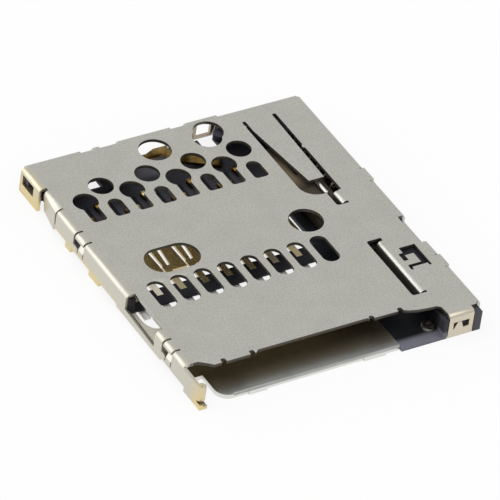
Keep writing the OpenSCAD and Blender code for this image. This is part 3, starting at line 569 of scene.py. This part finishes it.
def eject_spring(material):
    """Wire swept along a helix about a Y line, with circles of points across the helix's tangent. The
    pitch is one wire over the closed end turns and even between."""
    steps = STEPS_PER_TURN * SPRING_TURNS
    turn = np.linspace(0.0, SPRING_TURNS, steps + 1)
    low, high = SPRING_ENDS[0] + SPRING_WIRE / 2, SPRING_ENDS[1] - SPRING_WIRE / 2
    knots = np.array([0.0, CLOSED_TURNS, SPRING_TURNS - CLOSED_TURNS, SPRING_TURNS])
    closed = CLOSED_TURNS * SPRING_WIRE
    along = np.interp(turn, knots, [low, low + closed, high - closed, high])
    angle = 2 * np.pi * turn
    radius = (SPRING_D - SPRING_WIRE) / 2
    outward = np.stack([np.cos(angle), np.zeros_like(angle), np.sin(angle)], -1)
    middle = radius * outward + np.stack([np.full_like(turn, SPRING_AXIS[0]), along,
                                          np.full_like(turn, SPRING_AXIS[1])], -1)
    tangent = np.gradient(middle, axis=0)
    tangent /= np.linalg.norm(tangent, axis=1, keepdims=True)
    side = np.cross(tangent, outward)
    ring = np.linspace(0.0, 2 * np.pi, WIRE_SIDES, endpoint=False)
    points = (middle[:, None] + SPRING_WIRE / 2 * (np.cos(ring)[None, :, None] * outward[:, None]
                                                   + np.sin(ring)[None, :, None] * side[:, None]))
    faces = ring_faces(steps + 1, WIRE_SIDES)
    faces.append(list(range(WIRE_SIDES - 1, -1, -1)))
    faces.append([steps * WIRE_SIDES + k for k in range(WIRE_SIDES)])
    piece = new_piece("eject_spring_coil", points.reshape(-1, 3) * MM, faces, material)
    work = bmesh.new()
    work.from_mesh(piece.data)
    bmesh.ops.recalc_face_normals(work, faces=work.faces)
    work.to_mesh(piece.data)
    work.free()
    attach(piece, "body")
    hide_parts("eject_spring")
    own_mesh(piece)


def dress_nodes():
    """Finishes of all nodes: eased copies where edges catch light, a coil for the spring, and a plain
    material on the follower."""
    eased_copy("cover_shell", "body", cover_steel(), COVER_EDGE, fitted=fitted_cover)
    eased_copy("floor_plate", "body", floor_steel(), PLATE_EDGE, fitted=fitted_floor)
    black = moulded_resin("housing_resin", *BLACK_RESIN)
    eased_copy("housing", "body", black, RESIN_EDGE)
    taupe = moulded_resin("slider_resin", *TAUPE_RESIN)
    eased_copy("slider", "slider", taupe, RESIN_EDGE)
    for k, (bar_colour, tip_colour) in enumerate(CONTACT_COLOURS, 1):
        finish = contact_bronze(f"contact_{k}_bronze", bar_colour, tip_colour)
        eased_copy(f"contact_{k}", "body", finish, LEAF_EDGE)
    gold = switch_gold()
    for node in ("detect_lever", "detect_terminal"):
        eased_copy(node, "body", gold, LEAF_EDGE)
    finish_node(NODES["cam_follower"], drawn_wire("follower_wire", *FOLLOWER_WIRE))
    eject_spring(drawn_wire("spring_wire", *SPRING_STEEL))


FLOOR_SIZE = 3.0
FLOOR_DROP = 0.002 * MM
FLOOR_COLOUR = (0.86, 0.86, 0.86, 1.0)
FLOOR_WHITE = 0.85


def seen_directly(nodes, links):
    """1 for rays of the camera, of gloss and of glass, else 0."""
    path = nodes.new("ShaderNodeLightPath")
    total = path.outputs["Is Camera Ray"]
    for name in ("Is Glossy Ray", "Is Transmission Ray"):
        larger = nodes.new("ShaderNodeMath")
        larger.operation = "MAXIMUM"
        links.new(total, larger.inputs[0])
        links.new(path.outputs[name], larger.inputs[1])
        total = larger.outputs[0]
    return total


def white_floor():
    """Flat white square floor just under the socket, that keeps a soft shadow."""
    half = FLOOR_SIZE / 2
    points = np.array([(-half, -half, 0), (half, -half, 0), (half, half, 0), (-half, half, 0)], float)
    points[:, 2] = -FLOOR_DROP
    material = bpy.data.materials.new("white_floor")
    material.use_nodes = True
    nodes, links = material.node_tree.nodes, material.node_tree.links
    nodes.remove(nodes["Principled BSDF"])
    diffuse = nodes.new("ShaderNodeBsdfDiffuse")
    diffuse.inputs["Color"].default_value = FLOOR_COLOUR
    white = nodes.new("ShaderNodeEmission")
    white.inputs["Strength"].default_value = 1.0
    share = nodes.new("ShaderNodeMath")
    share.operation = "MULTIPLY"
    share.inputs[1].default_value = FLOOR_WHITE
    links.new(seen_directly(nodes, links), share.inputs[0])
    blend = nodes.new("ShaderNodeMixShader")
    links.new(share.outputs[0], blend.inputs[0])
    links.new(diffuse.outputs[0], blend.inputs[1])
    links.new(white.outputs[0], blend.inputs[2])
    links.new(blend.outputs[0], nodes["Material Output"].inputs["Surface"])
    new_piece("floor", points, [[0, 1, 2, 3]], material, smooth=False)


def soft_lamp(name, direction, distance, size, power):
    """Square area lamp at a distance along a direction, facing the socket."""
    data = bpy.data.lights.new(name, "AREA")
    data.shape = "SQUARE"
    data.size = size
    data.energy = power
    lamp = bpy.data.objects.new(name, data)
    bpy.context.scene.collection.objects.link(lamp)
    place = Vector(unit(direction) * distance)
    lamp.matrix_world = Matrix.Translation(place) @ place.to_track_quat("Z", "Y").to_matrix().to_4x4()


WORLD_LEVEL = 0.7


def studio_light():
    """Even pale world with two soft lamps."""
    world = bpy.data.worlds.new("studio")
    bpy.context.scene.world = world
    world.use_nodes = True
    background = world.node_tree.nodes["Background"]
    background.inputs["Color"].default_value = (1.0, 1.0, 1.0, 1.0)
    background.inputs["Strength"].default_value = WORLD_LEVEL
    soft_lamp("left_rear_box", (-0.62, 0.62, 0.5), distance=0.5, size=0.6, power=1.3)
    soft_lamp("top_box", (0.1, -0.25, 1.0), distance=0.5, size=0.5, power=0.7)


place_camera()
dress_nodes()
white_floor()
studio_light()
bpy.context.scene.view_settings.view_transform = "Standard"
